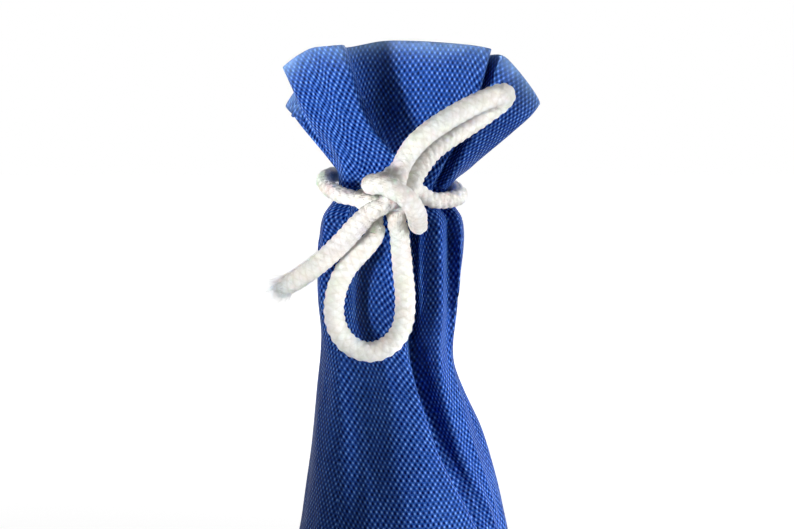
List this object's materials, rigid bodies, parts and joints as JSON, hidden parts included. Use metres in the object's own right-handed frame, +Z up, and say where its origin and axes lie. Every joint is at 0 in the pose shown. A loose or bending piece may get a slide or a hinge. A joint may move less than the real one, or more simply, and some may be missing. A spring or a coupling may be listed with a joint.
{
  "type": "drawstring pouch",
  "caption": "Tall soft pouch of woven cloth on a round base, gathered at the neck and tied with a braided cord in a bow that leaves a flared, folded collar.",
  "frame": {"origin": "middle of the base's underside", "axes": "+Z up along the pouch, -Y towards the bow, +X to the right as the bow is seen"},
  "size_m": [0.0596, 0.0632, 0.19],
  "materials": {
    "pouch_cloth": "blue plain-woven cloth with a soft sheen",
    "seam_binding": "dark blue woven tape, matte",
    "cord": "white braided cord, matte"
  },
  "bodies": {
    "pouch": {"front_panel": "pouch_cloth", "back_panel": "pouch_cloth", "base_panel": "pouch_cloth", "base_seam_binding": "seam_binding", "left_seam_binding": "seam_binding", "right_seam_binding": "seam_binding", "neck_cord": "cord", "short_tail": "cord", "tail_pass": "cord"},
    "upper_bow_loop": {"upper_loop": "cord"},
    "lower_bow_loop": {"lower_loop": "cord"},
    "long_cord_tail": {"long_tail": "cord"}
  },
  "joints": [
    {"name": "upper_loop_bend", "type": "hinge", "parent": "pouch", "child": "upper_bow_loop", "pos_m": [0, -0.0287, 0.1624], "axis": [1, 0, 0], "range_deg": [0, 70]},
    {"name": "lower_loop_bend", "type": "hinge", "parent": "pouch", "child": "lower_bow_loop", "pos_m": [0, -0.0218, 0.1515], "axis": [-1, 0, 0], "range_deg": [0, 25]},
    {"name": "long_tail_bend", "type": "hinge", "parent": "pouch", "child": "long_cord_tail", "pos_m": [-0.0048, -0.0289, 0.1569], "axis": [-1, 0, 0], "range_deg": [0, 75]}
  ]
}
